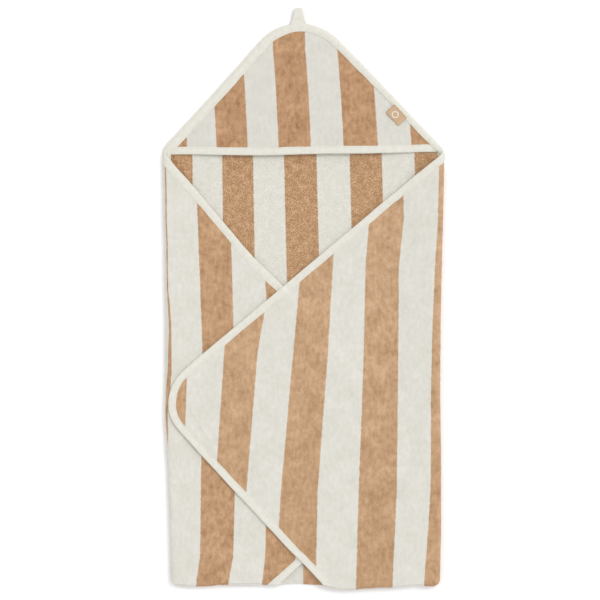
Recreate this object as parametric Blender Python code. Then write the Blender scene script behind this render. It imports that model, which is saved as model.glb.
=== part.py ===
"""Hooded baby towel: one square of striped terry cloth with a sewn hood pocket in one corner.

The towel lies folded on its back. Both side corners are folded over the middle, the left one
first, after the bottom corner was folded up. Every flat stretch of cloth between two folds is a
panel of its own. The panels are stacked in levels, and a fold strip joins two levels at a fold.
Panels, bindings and the pieces sewn on them hang from empties that stand on the fold axes.

Frame: metres, +Z up, +Y towards the tip of the hood, origin on the surface below the middle.
"""

from math import atan2, cos, hypot, pi, sin, tan

import bmesh
import bpy
from mathutils import Matrix, Vector

# Cloth and tape
CLOTH = 0.0022            # thickness of one layer of cloth
PITCH = 0.0026            # from one level of the stack to the next
GAP = 0.0003              # clearance between pieces that touch
BINDING_WIDTH = 0.010     # visible width of the bias binding
HOOD_RADIUS = 0.070       # rounding of the hood's tip
FLAP_RADIUS = 0.054       # rounding of the other three corners
ARC_STEPS = 10            # straight pieces in each rounded corner

# Folded outline
FOLD_X = 0.180            # side folds, measured from the middle
BOTTOM_Y = -0.3745        # bottom fold
MOUTH_Y = 0.1855          # lower edge of the hood's mouth, and the fold above the flaps
HOOD_APEX = (-0.008, 0.3875)
HOOD_LEFT = (-0.182, 0.1935)
HOOD_RIGHT = (0.182, 0.1895)
FLAP_TOP_Y = 0.1825       # where the flaps' upper edges meet the side folds
RIGHT_TIP = (-0.199, -0.1305)
RIGHT_FOOT_X = 0.025      # where the right flap's lower edge meets the bottom fold
LEFT_TIP = (0.150, -0.2025)
LEFT_FOOT_X = -0.030
BOTTOM_TIP = (0.064, -0.0605)
BOTTOM_LEFT_Y = -0.2685   # where the bottom corner's edges cross the side folds
BOTTOM_RIGHT_Y = -0.1965
INNER_LEFT_X = -0.042     # where its folded-in ends meet the bottom fold
INNER_RIGHT_X = 0.024

# Levels of the stack
BACK_LEVEL = 0
BOTTOM_LEVEL = 1
INNER_LEFT_LEVEL = 2
LEFT_LEVEL = 3
INNER_RIGHT_LEVEL = 3
RIGHT_LEVEL = 4

# Folds
AXIS_SHIFT = 0.57         # fold axis outside the bend's centre, in bend radii
HOOD_AXIS_Z = 0.0125      # the hood turns over the stack of flaps

# Hood pocket
SEAM_MARGIN = 0.024       # flat strip of the hood's front along its seams
POCKET_RAMP = 0.036       # width over which the front rises from the seam
POCKET_RISE = 0.0058      # height that it rises

# Hanging loop
LOOP_WIDTH = 0.011
LOOP_LENGTH = 0.0196
LOOP_TAPE = 0.0009
LOOP_HEIGHT = 0.0064
LOOP_AXIS_Z = 0.0051

# Woven label
LABEL_LENGTH = 0.0240
LABEL_DEPTH = 0.0150
LABEL_LAP = 0.0036        # how far it lies over the binding that it is sewn to
LABEL_THICKNESS = 0.0006
LABEL_ALONG = 0.0772      # from the hood's right corner to the label's middle, along the seam

# Colours, linear, and roughness
SAND = (0.57, 0.37, 0.22)
CREAM = (0.77, 0.76, 0.69)
TAPE_CREAM = (0.81, 0.79, 0.72)
LABEL_SAND = (0.60, 0.42, 0.28)
CLOTH_ROUGHNESS = 0.95
TAPE_ROUGHNESS = 0.85
LABEL_ROUGHNESS = 0.7

# Modelling
AXIS_MARK = 0.02          # drawn size of a fold axis
WELD = 0.00005            # points closer than this are one


def clear_scene():
    for item in list(bpy.data.objects):
        bpy.data.objects.remove(item, do_unlink=True)


def make_material(name, colour, roughness):
    material = bpy.data.materials.new(name)
    material.use_nodes = True
    shader = material.node_tree.nodes["Principled BSDF"]
    shader.inputs["Base Color"].default_value = (*colour, 1.0)
    shader.inputs["Roughness"].default_value = roughness
    shader.inputs["Metallic"].default_value = 0.0
    material.diffuse_color = (*colour, 1.0)
    return material


def level_z(level):
    """Underside of a panel on this level."""
    return level * PITCH


def crossing(p, along_p, q, along_q):
    """Where the line through p meets the line through q."""
    det = along_p[0] * along_q[1] - along_p[1] * along_q[0]
    t = ((q[0] - p[0]) * along_q[1] - (q[1] - p[1]) * along_q[0]) / det
    return (p[0] + t * along_p[0], p[1] + t * along_p[1])


def inset_corners(corners, insets):
    """Corners of a counterclockwise outline whose edge i is moved inwards by insets[i]."""
    count = len(corners)
    moved = []
    for i in range(count):
        a = corners[i]
        b = corners[(i + 1) % count]
        along = (b[0] - a[0], b[1] - a[1])
        length = hypot(*along)
        inwards = (-along[1] / length, along[0] / length)
        start = (a[0] + inwards[0] * insets[i], a[1] + inwards[1] * insets[i])
        moved.append((start, along))
    return [crossing(*moved[i - 1], *moved[i]) for i in range(count)]


def rounded(previous, corner, following, radius):
    """Points of the arc that rounds one corner, or the corner itself if the radius is 0."""
    if radius <= 0:
        return [corner]
    to_previous = Vector((previous[0] - corner[0], previous[1] - corner[1])).normalized()
    to_following = Vector((following[0] - corner[0], following[1] - corner[1])).normalized()
    half = to_previous.angle(to_following) / 2
    bisector = (to_previous + to_following).normalized()
    centre = Vector(corner) + bisector * (radius / sin(half))
    first = Vector(corner) + to_previous * (radius / tan(half)) - centre
    last = Vector(corner) + to_following * (radius / tan(half)) - centre
    start = atan2(first.y, first.x)
    turn = first.angle_signed(last) * -1
    steps = [start + turn * i / ARC_STEPS for i in range(ARC_STEPS + 1)]
    return [(centre.x + radius * cos(a), centre.y + radius * sin(a)) for a in steps]


def outline(corners, insets, radii):
    """The inset outline as one list of points for each corner."""
    moved = inset_corners(corners, insets)
    count = len(moved)
    groups = []
    for i in range(count):
        cut = max(insets[i - 1], insets[i])
        radius = radii[i] - cut if radii[i] > 0 else 0
        groups.append(rounded(moved[i - 1], moved[i], moved[(i + 1) % count], radius))
    return groups


def joined(groups):
    return [point for group in groups for point in group]


def flat_solid(name, points, bottom, thickness, material):
    """A flat piece: the outline filled and extruded upwards from bottom."""
    curve = bpy.data.curves.new(name, "CURVE")
    curve.dimensions = "2D"
    curve.fill_mode = "BOTH"
    curve.extrude = thickness / 2
    spline = curve.splines.new("POLY")
    spline.points.add(len(points) - 1)
    for target, point in zip(spline.points, points):
        target.co = (point[0], point[1], 0, 1)
    spline.use_cyclic_u = True
    curve.materials.append(material)
    piece = bpy.data.objects.new(name, curve)
    piece.location = (0, 0, bottom + thickness / 2)
    PARTS.objects.link(piece)
    return piece


def panel(name, corners, radii, free_edges, level, material):
    """A panel of cloth: its free edges stop where the binding starts."""
    insets = [BINDING_WIDTH + GAP if i in free_edges else 0 for i in range(len(corners))]
    points = joined(outline(corners, insets, radii))
    return flat_solid(name, points, level_z(level), CLOTH, material)


def binding(name, corners, radii, free_edges, bottom, thickness, material):
    """The tape along a panel's free edges, which follow one another in the outline."""
    outer = outline(corners, [0] * len(corners), radii)
    insets = [BINDING_WIDTH if i in free_edges else 0 for i in range(len(corners))]
    inner = outline(corners, insets, radii)
    first = free_edges[0]
    picked = [(first + i) % len(corners) for i in range(len(free_edges) + 1)]
    points = joined([outer[i] for i in picked])
    points += reversed(joined([inner[i] for i in picked]))
    return flat_solid(name, points, bottom, thickness, material)


def hold(empty, pieces):
    """Parent pieces to an empty and leave them where they are."""
    for piece in pieces:
        piece.parent = empty
        piece.matrix_parent_inverse = empty.matrix_world.inverted()


def axis_empty(name, location, parent=None):
    empty = bpy.data.objects.new(name, None)
    empty.location = location
    empty.empty_display_size = AXIS_MARK
    PARTS.objects.link(empty)
    bpy.context.view_layer.update()
    if parent:
        hold(parent, [empty])
        bpy.context.view_layer.update()
    return empty


def bend_radius(low_level, high_level):
    """From a bend's centre to the middle of the cloth."""
    return (high_level - low_level) * PITCH / 2


def bend_centre(low_level, high_level):
    """Height of a bend's centre, and how far it lies inside the fold's outermost line."""
    height = (level_z(low_level) + level_z(high_level) + CLOTH) / 2
    return height, bend_radius(low_level, high_level) + CLOTH / 2


def bend_room(low_level, high_level):
    """How far the flat panels stop short of the fold's outermost line."""
    return bend_centre(low_level, high_level)[1] + GAP


def fold_axis(low_level, high_level):
    """Height of the fold's axis, and how far it lies inside the outermost line."""
    height, inside = bend_centre(low_level, high_level)
    return height, inside - AXIS_SHIFT * bend_radius(low_level, high_level)


def fold_strip(name, low_level, high_level, edge, side, start, end, material):
    """The bend that joins two levels: half a ring, extruded along the fold.

    side is +X, -X or -Y, the way that the bend bulges. start and end lie along the fold.
    """
    height, inside = bend_centre(low_level, high_level)
    outer = bend_radius(low_level, high_level) + CLOTH / 2
    inner = max(outer - CLOTH, GAP)
    angles = [-pi / 2 + pi * i / (2 * ARC_STEPS) for i in range(2 * ARC_STEPS + 1)]
    ring = [(outer * cos(a), outer * sin(a)) for a in angles]
    ring += [(inner * cos(a), inner * sin(a)) for a in reversed(angles)]
    if side == "-X":
        ring = [(-x, z) for x, z in reversed(ring)]
    strip = flat_solid(name, ring, 0, end - start, material)
    middle = (start + end) / 2
    if side == "-Y":
        strip.rotation_euler = Matrix(((0, 0, 1), (-1, 0, 0), (0, 1, 0))).to_euler()
        strip.location = (middle, edge + inside, height)
    else:
        strip.rotation_euler = (pi / 2, 0, 0)
        shift = -inside if side == "+X" else inside
        strip.location = (edge + shift, middle, height)
    return strip


def hood_front(corners, material):
    """The hood's front: flat along its seams and raised in the middle, open at the mouth."""
    seam = BINDING_WIDTH + GAP
    rings = []
    for inset, rise in ((seam, 0), (SEAM_MARGIN, 0), (SEAM_MARGIN + POCKET_RAMP, POCKET_RISE)):
        insets = [seam, inset, inset]
        groups = outline(corners, insets, [0, 0, HOOD_RADIUS])
        rings.append([(x, y, rise) for x, y in joined(groups)])
    shape = bmesh.new()
    made = [[shape.verts.new(point) for point in ring] for ring in rings]
    for outer, inner in zip(made, made[1:]):
        shape.faces.new((outer[0], outer[1], inner[1], inner[0]))
        for i in range(1, len(outer)):
            following = (i + 1) % len(outer)
            shape.faces.new((outer[i], outer[following], inner[following], inner[i]))
    shape.faces.new(made[-1])
    bmesh.ops.remove_doubles(shape, verts=shape.verts, dist=WELD)
    raised = bmesh.ops.extrude_face_region(shape, geom=shape.faces[:])["geom"]
    top = [item for item in raised if isinstance(item, bmesh.types.BMVert)]
    bmesh.ops.translate(shape, verts=top, vec=(0, 0, CLOTH))
    bmesh.ops.recalc_face_normals(shape, faces=shape.faces)
    mesh = bpy.data.meshes.new("hood_front")
    shape.to_mesh(mesh)
    shape.free()
    mesh.materials.append(material)
    piece = bpy.data.objects.new("hood_front", mesh)
    piece.location = (0, 0, level_z(1))
    PARTS.objects.link(piece)
    return piece


def hood_edge_binding(corners, radii, material):
    """The tape around the hood's two edges, cut off straight at the side folds."""
    tip = outline(corners, [0, 0, 0], radii)[2]
    outer = [(HOOD_RIGHT[0], MOUTH_Y), HOOD_RIGHT, *tip, HOOD_LEFT, (HOOD_LEFT[0], MOUTH_Y)]
    inner = outline(corners, [0, BINDING_WIDTH, BINDING_WIDTH], radii)
    points = outer + [inner[0][0], *reversed(inner[2]), inner[1][0]]
    return flat_solid("hood_edge_binding", points, 0, level_z(1) + CLOTH, material)


def mouth_binding(corners, material):
    """The tape on the hood's mouth: a low arch, extruded across the tape's width."""
    middle_y = MOUTH_Y + BINDING_WIDTH / 2
    seam = inset_corners(corners, [0, BINDING_WIDTH + 2 * GAP, BINDING_WIDTH + 2 * GAP])
    foot = inset_corners(corners, [0, SEAM_MARGIN, SEAM_MARGIN])
    crown = inset_corners(corners, [0, SEAM_MARGIN + POCKET_RAMP, SEAM_MARGIN + POCKET_RAMP])
    steep = (corners[2][0] - corners[0][0]) / (corners[2][1] - corners[0][1])
    left_x = seam[0][0] + steep * BINDING_WIDTH
    right_x = seam[1][0] - BINDING_WIDTH
    path = [(left_x, 0), (foot[0][0], 0), (crown[0][0], POCKET_RISE)]
    path += [(crown[1][0], POCKET_RISE), (foot[1][0], 0), (right_x, 0)]
    profile = path + [(x, z + CLOTH) for x, z in reversed(path)]
    tape = flat_solid("hood_mouth_binding", profile, 0, BINDING_WIDTH, material)
    tape.rotation_euler = (pi / 2, 0, 0)
    tape.location = (0, middle_y, level_z(1))
    return tape


def hanging_loop(base_y, middle_x, material):
    """A folded tape with an open eye: a flat ring seen from the side, extruded across X."""
    radius = LOOP_HEIGHT / 2
    straight = LOOP_LENGTH - radius

    def ring(shrink):
        r = radius - shrink
        bend = [-pi / 2 + pi * i / ARC_STEPS for i in range(ARC_STEPS + 1)]
        points = [(straight + r * cos(a), r * sin(a)) for a in bend]
        return points + [(shrink, r), (shrink, -r)]

    outer = ring(0)
    curve_piece = flat_solid("hanging_loop", outer, 0, LOOP_WIDTH, material)
    eye = curve_piece.data.splines.new("POLY")
    inner = ring(LOOP_TAPE)
    eye.points.add(len(inner) - 1)
    for target, point in zip(eye.points, inner):
        target.co = (point[0], point[1], 0, 1)
    eye.use_cyclic_u = True
    curve_piece.rotation_euler = Matrix(((0, 0, 1), (1, 0, 0), (0, 1, 0))).to_euler()
    curve_piece.location = (middle_x, base_y, radius)
    return curve_piece


def woven_label(seam_right, seam_apex, material):
    """A small rectangle, sewn into the seam of the hood's right edge along one side."""
    along = (Vector(seam_apex) - Vector(seam_right)).normalized()
    inwards = Vector((-along.y, along.x))
    seam = Vector(seam_right) + along * LABEL_ALONG + inwards * (BINDING_WIDTH - LABEL_LAP)
    half = along * (LABEL_LENGTH / 2)
    depth = inwards * LABEL_DEPTH
    corners = [seam - half, seam + half, seam + half + depth, seam - half + depth]
    bottom = level_z(1) + CLOTH + GAP
    tag = flat_solid("woven_label", corners, bottom, LABEL_THICKNESS, material)
    return tag, (seam.x, seam.y, bottom + LABEL_THICKNESS / 2)


def build():
    def cloth(name):
        colour = SAND if "flap" in name else CREAM
        return make_material(name + "_cloth", colour, CLOTH_ROUGHNESS)

    def tape(name):
        return make_material(name + "_tape", TAPE_CREAM, TAPE_ROUGHNESS)

    # Root: the back panel between the folds
    side_room = bend_room(BACK_LEVEL, RIGHT_LEVEL)
    left_room = bend_room(BACK_LEVEL, LEFT_LEVEL)
    foot_room = bend_room(BACK_LEVEL, BOTTOM_LEVEL)
    back = [(-FOLD_X + left_room, BOTTOM_Y + foot_room), (FOLD_X - side_room, BOTTOM_Y + foot_room)]
    back += [(FOLD_X - side_room, MOUTH_Y - GAP), (-FOLD_X + left_room, MOUTH_Y - GAP)]
    flat_solid("back_panel", back, 0, CLOTH, cloth("back_panel"))
    axis_height, axis_inside = fold_axis(BACK_LEVEL, BOTTOM_LEVEL)
    bottom_axis = axis_empty("bottom_fold_axis", (0, BOTTOM_Y + axis_inside, axis_height))
    axis_height, axis_inside = fold_axis(BACK_LEVEL, LEFT_LEVEL)
    left_axis = axis_empty("left_fold_axis", (-FOLD_X + axis_inside, 0, axis_height))
    axis_height, axis_inside = fold_axis(BACK_LEVEL, RIGHT_LEVEL)
    right_axis = axis_empty("right_fold_axis", (FOLD_X - axis_inside, 0, axis_height))
    hood_axis = axis_empty("hood_fold_axis", (0, MOUTH_Y, HOOD_AXIS_Z))

    # Bottom corner, folded up on the back panel
    low = BOTTOM_Y + foot_room
    left_crease = -FOLD_X + left_room
    right_crease = FOLD_X - side_room
    shape = [(left_crease, low), (right_crease, low), (right_crease, BOTTOM_RIGHT_Y)]
    shape += [BOTTOM_TIP, (left_crease, BOTTOM_LEFT_Y)]
    radii = [0, 0, 0, FLAP_RADIUS, 0]
    bottom_pieces = [
        panel("bottom_flap", shape, radii, [2, 3], BOTTOM_LEVEL, cloth("bottom_flap")),
        binding("bottom_flap_binding", shape, radii, [2, 3], level_z(BOTTOM_LEVEL), CLOTH,
                tape("bottom_flap")),
    ]
    hold(bottom_axis, bottom_pieces)

    # Left flap and the end of the bottom corner that is folded in with it
    fold_room = bend_room(INNER_LEFT_LEVEL, LEFT_LEVEL)
    low = BOTTOM_Y + fold_room
    shape = [(left_crease, low), (LEFT_FOOT_X, low), LEFT_TIP, (left_crease, FLAP_TOP_Y)]
    radii = [0, 0, FLAP_RADIUS, 0]
    left_pieces = [
        panel("left_flap", shape, radii, [1, 2], LEFT_LEVEL, cloth("left_flap")),
        binding("left_flap_binding", shape, radii, [1, 2], level_z(LEFT_LEVEL), CLOTH,
                tape("left_flap")),
    ]
    axis_height, axis_inside = fold_axis(INNER_LEFT_LEVEL, LEFT_LEVEL)
    inner_left_axis = axis_empty(
        "bottom_corner_left_axis", (0, BOTTOM_Y + axis_inside, axis_height), left_axis)
    shape = [(left_crease, low), (INNER_LEFT_X, low), (left_crease, BOTTOM_LEFT_Y)]
    inner_left = [
        panel("bottom_corner_left", shape, [0, 0, 0], [1], INNER_LEFT_LEVEL,
              cloth("bottom_corner_left")),
        binding("bottom_corner_left_binding", shape, [0, 0, 0], [1],
                level_z(INNER_LEFT_LEVEL), CLOTH, tape("bottom_corner_left")),
    ]
    left_pieces.append(fold_strip("bottom_fold_left_strip", INNER_LEFT_LEVEL, LEFT_LEVEL, BOTTOM_Y,
                                  "-Y", left_crease, INNER_LEFT_X, cloth("bottom_fold_left")))
    hold(left_axis, left_pieces)
    hold(inner_left_axis, inner_left)

    # Right flap and the other end of the bottom corner
    fold_room = bend_room(INNER_RIGHT_LEVEL, RIGHT_LEVEL)
    low = BOTTOM_Y + fold_room
    shape = [(right_crease, low), (right_crease, FLAP_TOP_Y), RIGHT_TIP, (RIGHT_FOOT_X, low)]
    radii = [0, 0, FLAP_RADIUS, 0]
    right_pieces = [
        panel("right_flap", shape, radii, [1, 2], RIGHT_LEVEL, cloth("right_flap")),
        binding("right_flap_binding", shape, radii, [1, 2], level_z(RIGHT_LEVEL), CLOTH,
                tape("right_flap")),
    ]
    axis_height, axis_inside = fold_axis(INNER_RIGHT_LEVEL, RIGHT_LEVEL)
    inner_right_axis = axis_empty(
        "bottom_corner_right_axis", (0, BOTTOM_Y + axis_inside, axis_height), right_axis)
    shape = [(right_crease, low), (right_crease, BOTTOM_RIGHT_Y), (INNER_RIGHT_X, low)]
    inner_right = [
        panel("bottom_corner_right", shape, [0, 0, 0], [1], INNER_RIGHT_LEVEL,
              cloth("bottom_corner_right")),
        binding("bottom_corner_right_binding", shape, [0, 0, 0], [1],
                level_z(INNER_RIGHT_LEVEL), CLOTH, tape("bottom_corner_right")),
    ]
    right_pieces.append(fold_strip("bottom_fold_right_strip", INNER_RIGHT_LEVEL, RIGHT_LEVEL,
                                   BOTTOM_Y, "-Y", INNER_RIGHT_X, right_crease,
                                   cloth("bottom_fold_right")))
    hold(right_axis, right_pieces)
    hold(inner_right_axis, inner_right)

    # The bends of the back panel's own folds
    fold_strip("left_fold_strip", BACK_LEVEL, LEFT_LEVEL, -FOLD_X, "-X",
               BOTTOM_Y + foot_room, FLAP_TOP_Y, cloth("left_fold"))
    fold_strip("right_fold_strip", BACK_LEVEL, RIGHT_LEVEL, FOLD_X, "+X",
               BOTTOM_Y + foot_room, FLAP_TOP_Y, cloth("right_fold"))
    fold_strip("bottom_fold_strip", BACK_LEVEL, BOTTOM_LEVEL, BOTTOM_Y, "-Y",
               left_crease, right_crease, cloth("bottom_fold"))

    # Hood: the cloth's top corner, the front sewn on it, and the tape around both
    to_right = (HOOD_RIGHT[0] - HOOD_APEX[0], HOOD_RIGHT[1] - HOOD_APEX[1])
    to_left = (HOOD_LEFT[0] - HOOD_APEX[0], HOOD_LEFT[1] - HOOD_APEX[1])
    mouth_right = crossing(HOOD_APEX, to_right, (0, MOUTH_Y), (1, 0))
    mouth_left = crossing(HOOD_APEX, to_left, (0, MOUTH_Y), (1, 0))
    front_shape = [mouth_left, mouth_right, HOOD_APEX]
    radii = [0, 0, HOOD_RADIUS]
    hood_pieces = [
        panel("hood_back", front_shape, radii, [1, 2], BACK_LEVEL, cloth("hood_back")),
        hood_edge_binding(front_shape, radii, tape("hood_edge")),
    ]
    hood_pieces.append(hood_front(front_shape, cloth("hood_front")))
    hood_pieces.append(mouth_binding(front_shape, tape("hood_mouth")))
    hold(hood_axis, hood_pieces)

    tip = max(joined(outline(front_shape, [0, 0, 0], radii)), key=lambda point: point[1])
    loop_axis = axis_empty("loop_axis", (tip[0], tip[1] + GAP, LOOP_AXIS_Z), hood_axis)
    hold(loop_axis, [hanging_loop(tip[1] + GAP, tip[0], tape("hanging_loop"))])

    label_material = make_material("label_weave", LABEL_SAND, LABEL_ROUGHNESS)
    tag, seam_point = woven_label(HOOD_RIGHT, HOOD_APEX, label_material)
    label_axis = axis_empty("label_axis", seam_point, hood_axis)
    hold(label_axis, [tag])


clear_scene()
PARTS = bpy.data.collections.new("hooded_towel")
bpy.context.scene.collection.children.link(PARTS)
build()
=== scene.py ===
"""Looks of the hooded baby towel: folded terry cloth, its bindings, stitches, loop and label.

Every sheet of cloth is cut as a flat shape, folded over its creases, and laid on what is under it.
Metres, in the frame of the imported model: +Z up, +Y towards the tip of the hood.
"""
from math import atan2, cos, hypot, pi, sin, tan

import bmesh
import bpy
import numpy as np
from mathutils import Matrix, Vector


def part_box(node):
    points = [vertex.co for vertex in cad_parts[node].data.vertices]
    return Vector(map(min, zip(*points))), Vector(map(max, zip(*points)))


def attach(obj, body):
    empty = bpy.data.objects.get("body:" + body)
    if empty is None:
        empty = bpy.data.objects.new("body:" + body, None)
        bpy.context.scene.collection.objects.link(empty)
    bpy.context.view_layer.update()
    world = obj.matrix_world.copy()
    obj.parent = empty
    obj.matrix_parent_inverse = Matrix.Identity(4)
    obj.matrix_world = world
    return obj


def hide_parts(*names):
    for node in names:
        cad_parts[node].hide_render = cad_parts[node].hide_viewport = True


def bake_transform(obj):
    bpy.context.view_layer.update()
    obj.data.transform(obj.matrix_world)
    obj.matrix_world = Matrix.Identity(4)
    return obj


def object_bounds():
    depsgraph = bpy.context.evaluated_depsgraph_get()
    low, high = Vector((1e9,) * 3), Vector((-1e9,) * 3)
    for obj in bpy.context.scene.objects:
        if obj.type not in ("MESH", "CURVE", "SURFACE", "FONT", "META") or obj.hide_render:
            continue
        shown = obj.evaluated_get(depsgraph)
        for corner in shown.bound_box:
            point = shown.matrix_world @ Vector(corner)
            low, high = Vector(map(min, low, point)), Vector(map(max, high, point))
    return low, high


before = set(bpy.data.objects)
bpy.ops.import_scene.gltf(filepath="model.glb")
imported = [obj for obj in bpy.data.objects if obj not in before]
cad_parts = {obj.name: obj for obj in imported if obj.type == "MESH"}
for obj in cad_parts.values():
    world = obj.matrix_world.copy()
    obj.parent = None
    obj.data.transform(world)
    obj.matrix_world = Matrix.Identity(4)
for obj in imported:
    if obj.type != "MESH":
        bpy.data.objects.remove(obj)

cad_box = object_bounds()

# Cloth and tape
CLOTH = 0.0022            # thickness of one layer of cloth
TAPE = 0.0005             # thickness of the tape that wraps its edge
TAPE_WIDTH = 0.0100
UNDER_TAPE = 0.0070       # how far inside a free edge the cloth itself ends
CLEARANCE = 0.0004        # between sheets that lie on each other
HALF = CLOTH / 2
TAPE_LOWEST = 0.0001      # tapes lie on the floor, and the cloth inside them a little higher
CLOTH_LOWEST = 0.0007
LIP = 0.0016              # part of a fold that is tucked into the sheet that it comes from

# Folded outline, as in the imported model
HOOD_APEX = (-0.008, 0.3875)
HOOD_LEFT = (-0.182, 0.1935)
HOOD_RIGHT = (0.182, 0.1895)
HOOD_RADIUS = 0.070
FLAP_RADIUS = 0.054
FLAP_TOP_Y = 0.1825
RIGHT_TIP = (-0.199, -0.1305)
RIGHT_FOOT_X = 0.025
LEFT_TIP = (0.150, -0.2025)
LEFT_FOOT_X = -0.030
BOTTOM_TIP = (0.064, -0.0605)
BOTTOM_LEFT_Y = -0.2685
BOTTOM_RIGHT_Y = -0.1965
ARC_STEPS = 26

back_low, back_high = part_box("back_panel")
LEFT_CREASE = back_low.x
RIGHT_CREASE = back_high.x
BOTTOM_CREASE = back_low.y
BOTTOM_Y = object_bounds()[0].y
MOUTH_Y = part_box("hood_mouth_binding")[0].y
HOOD_BOW = 0.0020         # how far the hood leans to the right, halfway up
HOOD_RISE = HOOD_APEX[1] - MOUTH_Y

# Relief
CELL = 0.002              # of the height maps
SEAM_DIP = 0.0010         # how far the hood's front is pulled down where it meets its tape
DRAPE = 0.84              # share of the way that a sheet sinks from its own level to what it lies on
DRAPE_RUN = 0.055         # length over which it sinks, away from a fold
EDGE_RUN = 0.006          # reach of the soft step over a lower sheet's edge
SETTLE_RUN = 0.04         # length over which a flap's ripples grow, away from its folds
POCKET = 0.0036           # how far the hood's front stands up in its middle

# How far the bottom folds reach into the ends of the side folds
ROLL_FILL = 0.0026
LEFT_FILL = 0.0036
RIGHT_FILL = 0.0046
END_SAG = 0.0012          # how far the bottom corner's two ends sag at most

rng = np.random.default_rng(21)


# Outlines

def crossing(p, along_p, q, along_q):
    det = along_p[0] * along_q[1] - along_p[1] * along_q[0]
    t = ((q[0] - p[0]) * along_q[1] - (q[1] - p[1]) * along_q[0]) / det
    return (p[0] + t * along_p[0], p[1] + t * along_p[1])


def on_line(p, q, x=None, y=None):
    """The point of the line through p and q that has this x or this y."""
    if x is not None:
        return (x, p[1] + (q[1] - p[1]) * (x - p[0]) / (q[0] - p[0]))
    return (p[0] + (q[0] - p[0]) * (y - p[1]) / (q[1] - p[1]), y)


def inset_corners(corners, insets):
    """Corners of the outline after each side has moved inwards by its inset."""
    count = len(corners)
    moved = []
    for i in range(count):
        a = corners[i]
        b = corners[(i + 1) % count]
        along = (b[0] - a[0], b[1] - a[1])
        length = hypot(*along)
        inwards = (-along[1] / length, along[0] / length)
        moved.append(((a[0] + inwards[0] * insets[i], a[1] + inwards[1] * insets[i]), along))
    return [crossing(*moved[i - 1], *moved[i]) for i in range(count)]


def rounded(previous, corner, following, radius):
    """Points of the arc that rounds a corner, or the corner itself."""
    if radius <= 0:
        return [corner]
    back_way = Vector((previous[0] - corner[0], previous[1] - corner[1])).normalized()
    on_way = Vector((following[0] - corner[0], following[1] - corner[1])).normalized()
    half = back_way.angle(on_way) / 2
    centre = Vector(corner) + (back_way + on_way).normalized() * (radius / sin(half))
    first = Vector(corner) + back_way * (radius / tan(half)) - centre
    last = Vector(corner) + on_way * (radius / tan(half)) - centre
    start = atan2(first.y, first.x)
    turn = -first.angle_signed(last)
    angles = [start + turn * i / ARC_STEPS for i in range(ARC_STEPS + 1)]
    return [(centre.x + radius * cos(a), centre.y + radius * sin(a)) for a in angles]


def outline(corners, insets, radii):
    """The inset outline as one list of points for each corner."""
    moved = inset_corners(corners, insets)
    groups = []
    for i in range(len(moved)):
        cut = max(insets[i - 1], insets[i])
        radius = radii[i] - cut if radii[i] > 0 else 0
        groups.append(rounded(moved[i - 1], moved[i], moved[(i + 1) % len(moved)], radius))
    return groups


def joined(groups):
    return [point for group in groups for point in group]


# Height maps

XS = np.arange(-0.214, 0.2141, CELL)
YS = np.arange(-0.392, 0.4081, CELL)
GRID_X, GRID_Y = np.meshgrid(XS, YS, indexing="ij")


def smoothstep(t):
    t = np.clip(t, 0, 1)
    return t * t * (3 - 2 * t)


def inside_of(points):
    """Cells of the height maps within a convex counterclockwise outline."""
    mask = np.ones(GRID_X.shape, bool)
    for (ax, ay), (bx, by) in zip(points, points[1:] + points[:1]):
        if hypot(bx - ax, by - ay) > 1e-7:
            mask &= (bx - ax) * (GRID_Y - ay) - (by - ay) * (GRID_X - ax) >= 0
    return mask


def widened(heights, reach):
    """The highest value within reach of each cell."""
    steps = int(round(reach / CELL))
    best = heights.copy()
    for i in range(-steps, steps + 1):
        for j in range(-steps, steps + 1):
            if i * i + j * j <= steps * steps:
                best = np.maximum(best, np.roll(heights, (i, j), (0, 1)))
    return best


def softened(heights, sigma):
    count = int(3 * sigma / CELL) + 1
    weights = np.exp(-0.5 * (np.arange(-count, count + 1) * CELL / sigma) ** 2)
    weights /= weights.sum()
    result = heights
    for axis in (0, 1):
        pad = [(0, 0), (0, 0)]
        pad[axis] = (count, count)
        wide = np.pad(result, pad, mode="edge")
        size = result.shape[axis]
        result = sum(w * wide.take(range(i, i + size), axis) for i, w in enumerate(weights))
    return result


def ripples(scale, height):
    """A soft random relief from 0 to height."""
    noise = softened(rng.standard_normal(GRID_X.shape), scale)
    noise -= noise.min()
    return noise * (height / noise.max())


def read(heights, x, y):
    """Heights at points, between the cells."""
    i = np.clip((np.asarray(x) - XS[0]) / CELL, 0, len(XS) - 1.001)
    j = np.clip((np.asarray(y) - YS[0]) / CELL, 0, len(YS) - 1.001)
    i0, j0 = i.astype(int), j.astype(int)
    u, v = i - i0, j - j0
    return ((1 - u) * (1 - v) * heights[i0, j0] + u * (1 - v) * heights[i0 + 1, j0]
            + (1 - u) * v * heights[i0, j0 + 1] + u * v * heights[i0 + 1, j0 + 1])


def crease_line(start, end, width, height):
    """A soft ridge, or a furrow if height is negative, that fades out at both ends."""
    dx, dy = end[0] - start[0], end[1] - start[1]
    length = hypot(dx, dy)
    t = ((GRID_X - start[0]) * dx + (GRID_Y - start[1]) * dy) / length ** 2
    away = ((GRID_X - start[0]) * dy - (GRID_Y - start[1]) * dx) / length
    fade = smoothstep(t * 4) * smoothstep((1 - t) * 4)
    return height * np.exp(-(away / width) ** 2) * fade


# Sheets

CORNER = 0.0082           # rounding of the two bottom corners
CORNER_REACH = 2.5 * CORNER
LEFT_FROM, LEFT_RUN = -0.135, 0.04    # where the left side's run-in begins, and its length
RIGHT_FROM, RIGHT_RUN = 0.14, 0.03
BOTTOM_RUN = 0.060        # height within which the bottom's rise is felt
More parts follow.
